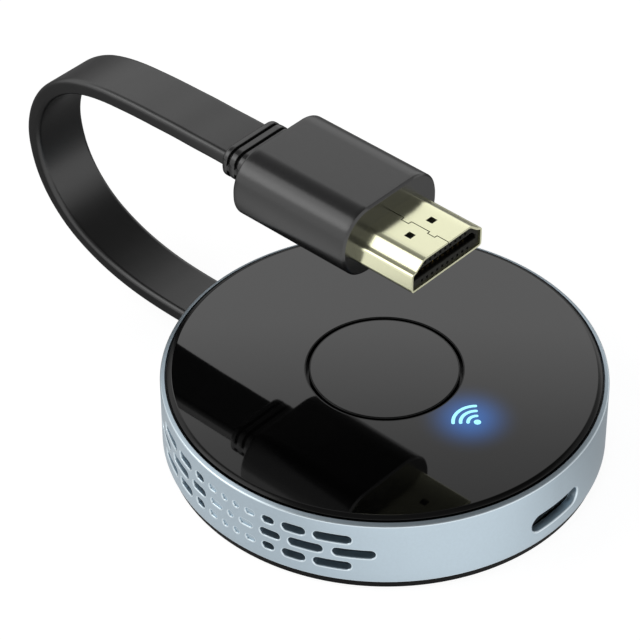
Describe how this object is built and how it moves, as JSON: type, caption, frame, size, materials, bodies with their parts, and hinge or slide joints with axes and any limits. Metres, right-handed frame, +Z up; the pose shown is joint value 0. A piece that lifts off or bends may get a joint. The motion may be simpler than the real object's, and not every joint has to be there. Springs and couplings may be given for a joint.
{
  "type": "wireless hdmi transmitter",
  "caption": "Round black and aluminium wireless video transmitter with a push button, side vents, a USB-C socket and a short flat lead that loops back to a video plug.",
  "frame": {"origin": "where the round body's axis meets the surface it stands on", "axes": "+Z up, +X towards the USB-C socket and along the plug, the lead leaves towards -X, the vents face -Y"},
  "size_m": [0.0957, 0.0612, 0.0424],
  "materials": {
    "ring_aluminium": "satin, anodised, pale silver blue",
    "plate_black": "polished black",
    "button_black": "polished black",
    "indicator_glow": "clear insert, lit pale blue",
    "light_guide_clear": "clear acrylic",
    "adhesive_grey": "double sided tape",
    "sponge_grey": "soft foam",
    "frame_plastic": "moulded, dark grey",
    "cover_black": "moulded, black",
    "foot_rubber": "matt rubber",
    "screw_steel": "plated steel",
    "board_green": "solder resist",
    "chip_black": "moulded chip package",
    "can_steel": "tinned sheet",
    "thermal_blue": "soft gap pad",
    "spreader_aluminium": "plain",
    "contact_gold": "gold plated",
    "copper_foil": "copper strip",
    "led_white": "clear package",
    "ferrite_grey": "ferrite block",
    "ceramic_brown": "ceramic",
    "screen_dark": "fine woven mesh",
    "cable_jacket": "satin black jacket",
    "wire_colour": "thin insulated wires",
    "connector_ivory": "moulded, ivory",
    "housing_black": "fine matt, black",
    "inner_mould_ivory": "soft inner moulding",
    "shell_gold": "bright pale gold plating",
    "insulator_black": "moulded, dark grey"
  },
  "bodies": {
    "puck": {"side_ring": "ring_aluminium", "top_plate": "plate_black", "plate_adhesive": "adhesive_grey", "indicator_glyph": "indicator_glow", "return_cushion": "sponge_grey", "switch_body": "can_steel", "top_frame": "frame_plastic", "light_guide": "light_guide_clear", "status_led": "led_white", "bottom_cover": "cover_black", "foot_pad": "foot_rubber", "cover_screws": "screw_steel", "main_board": "board_green", "processor": "chip_black", "memory_chip": "chip_black", "flash_chip": "chip_black", "thermal_pad": "thermal_blue", "heat_spreader": "spreader_aluminium", "wifi_chip": "chip_black", "wifi_shield": "can_steel", "antenna_strips": "copper_foil", "antenna_contacts": "contact_gold", "video_chip": "chip_black", "crystal": "can_steel", "power_inductor": "ferrite_grey", "capacitors": "ceramic_brown", "vent_screen": "screen_dark", "usb_shell": "can_steel", "usb_tongue": "insulator_black", "usb_contacts": "contact_gold", "cable_gland": "cable_jacket", "cable_clamp": "frame_plastic", "cable_tail": "cable_jacket", "cable_wires": "wire_colour", "board_connector": "connector_ivory", "flat_cable": "cable_jacket", "plug_collar": "cable_jacket", "plug_housing": "housing_black", "plug_inner_mold": "inner_mould_ivory", "plug_shell": "shell_gold", "plug_insulator": "insulator_black", "plug_contacts": "contact_gold"},
    "button": {"button_cap": "button_black", "switch_plunger": "insulator_black"}
  },
  "joints": [
    {"name": "button_press", "type": "slide", "parent": "puck", "child": "button", "axis": [0, 0, -1], "range_m": [0, 0.0003], "stiffness_N_per_m": 6400, "deforming": ["return_cushion"]}
  ]
}
